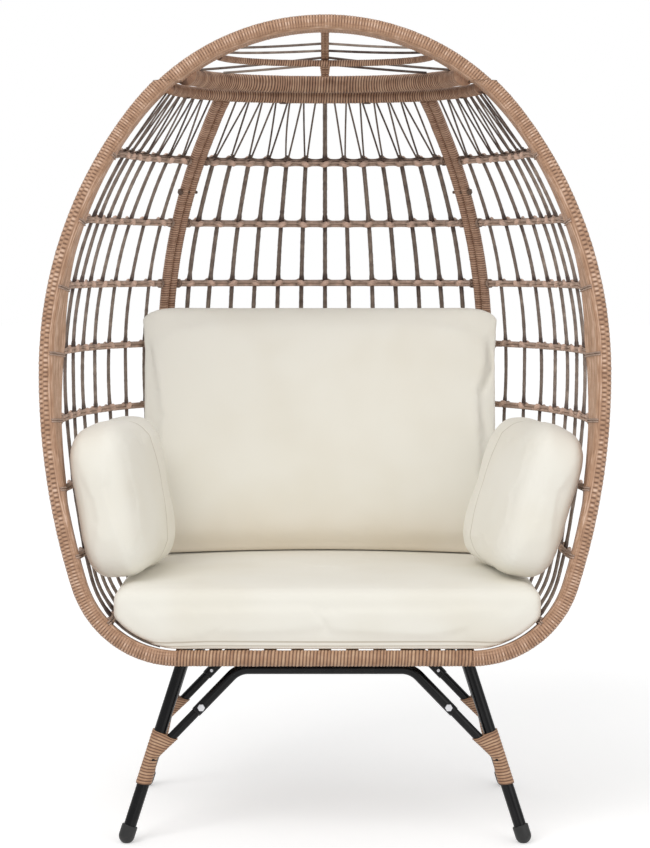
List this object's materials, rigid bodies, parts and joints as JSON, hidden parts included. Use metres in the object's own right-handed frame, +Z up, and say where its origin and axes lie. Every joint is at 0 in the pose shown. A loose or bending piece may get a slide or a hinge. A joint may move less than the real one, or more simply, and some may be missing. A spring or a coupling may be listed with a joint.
{
  "type": "egg chair",
  "caption": "Free-standing wicker egg chair: open woven shell with a wrapped leaning rim, splayed steel legs, seat and back cushions and arm pillows.",
  "frame": {"origin": "on the floor, under the middle of the chair's bounding box", "axes": "+Z up, -Y the way the chair faces, +X to the right of someone who stands in front and looks at it"},
  "size_m": [1, 0.6451, 1.4497],
  "materials": {
    "honey_wicker": "honey resin wicker wound round steel tube",
    "row_wicker": "twisted pairs of resin wicker strands",
    "dark_strand": "brown resin wicker strand, satin",
    "black_steel": "gloss black powder coat",
    "foot_rubber": "black rubber",
    "bolt_steel": "zinc-plated steel",
    "ivory_cloth": "ivory woven polyester over soft filling"
  },
  "bodies": {
    "chair": {"back_foot_bar": "honey_wicker", "back_head_bar": "honey_wicker", "back_laces": "dark_strand", "back_rows": "row_wicker", "back_strands": "dark_strand", "brace_bolts": "bolt_steel", "cross_straps": "honey_wicker", "crown_arch": "honey_wicker", "crown_bar": "honey_wicker", "crown_bolts": "bolt_steel", "crown_rib": "honey_wicker", "crown_spine": "honey_wicker", "frame_bolts": "bolt_steel", "front_bar": "honey_wicker", "front_cross_bar": "black_steel", "left_back_post": "honey_wicker", "left_crown_strands": "dark_strand", "left_front_cap": "foot_rubber", "left_front_leg": "black_steel", "left_front_wrap": "honey_wicker", "left_rear_cap": "foot_rubber", "left_rear_leg": "black_steel", "left_rear_wrap": "honey_wicker", "left_rim": "honey_wicker", "left_side_foot_bar": "honey_wicker", "left_side_head_bar": "honey_wicker", "left_side_laces": "dark_strand", "left_side_post": "honey_wicker", "left_side_rows": "row_wicker", "left_side_strands": "dark_strand", "long_straps": "honey_wicker", "post_bolts": "bolt_steel", "rear_cross_bar": "black_steel", "right_back_post": "honey_wicker", "right_crown_strands": "dark_strand", "right_front_cap": "foot_rubber", "right_front_leg": "black_steel", "right_front_wrap": "honey_wicker", "right_rear_cap": "foot_rubber", "right_rear_leg": "black_steel", "right_rear_wrap": "honey_wicker", "right_rim": "honey_wicker", "right_side_foot_bar": "honey_wicker", "right_side_head_bar": "honey_wicker", "right_side_laces": "dark_strand", "right_side_post": "honey_wicker", "right_side_rows": "row_wicker", "right_side_strands": "dark_strand", "seat_frame": "black_steel"},
    "seat_pad": {"seat_cushion": "ivory_cloth"},
    "back_pad": {"back_cushion": "ivory_cloth"},
    "left_arm_pad": {"left_pillow": "ivory_cloth"},
    "right_arm_pad": {"right_pillow": "ivory_cloth"}
  },
  "joints": [
    {"name": "seat_cushion_out", "type": "slide", "parent": "chair", "child": "seat_pad", "axis": [0, -1, 0], "range_m": [0, 0.6]},
    {"name": "back_cushion_out", "type": "slide", "parent": "seat_pad", "child": "back_pad", "axis": [0, -1, 0], "range_m": [0, 0.6]},
    {"name": "left_pillow_out", "type": "slide", "parent": "back_pad", "child": "left_arm_pad", "axis": [0, -1, 0], "range_m": [0, 0.35]},
    {"name": "right_pillow_out", "type": "slide", "parent": "back_pad", "child": "right_arm_pad", "axis": [0, -1, 0], "range_m": [0, 0.35]}
  ]
}
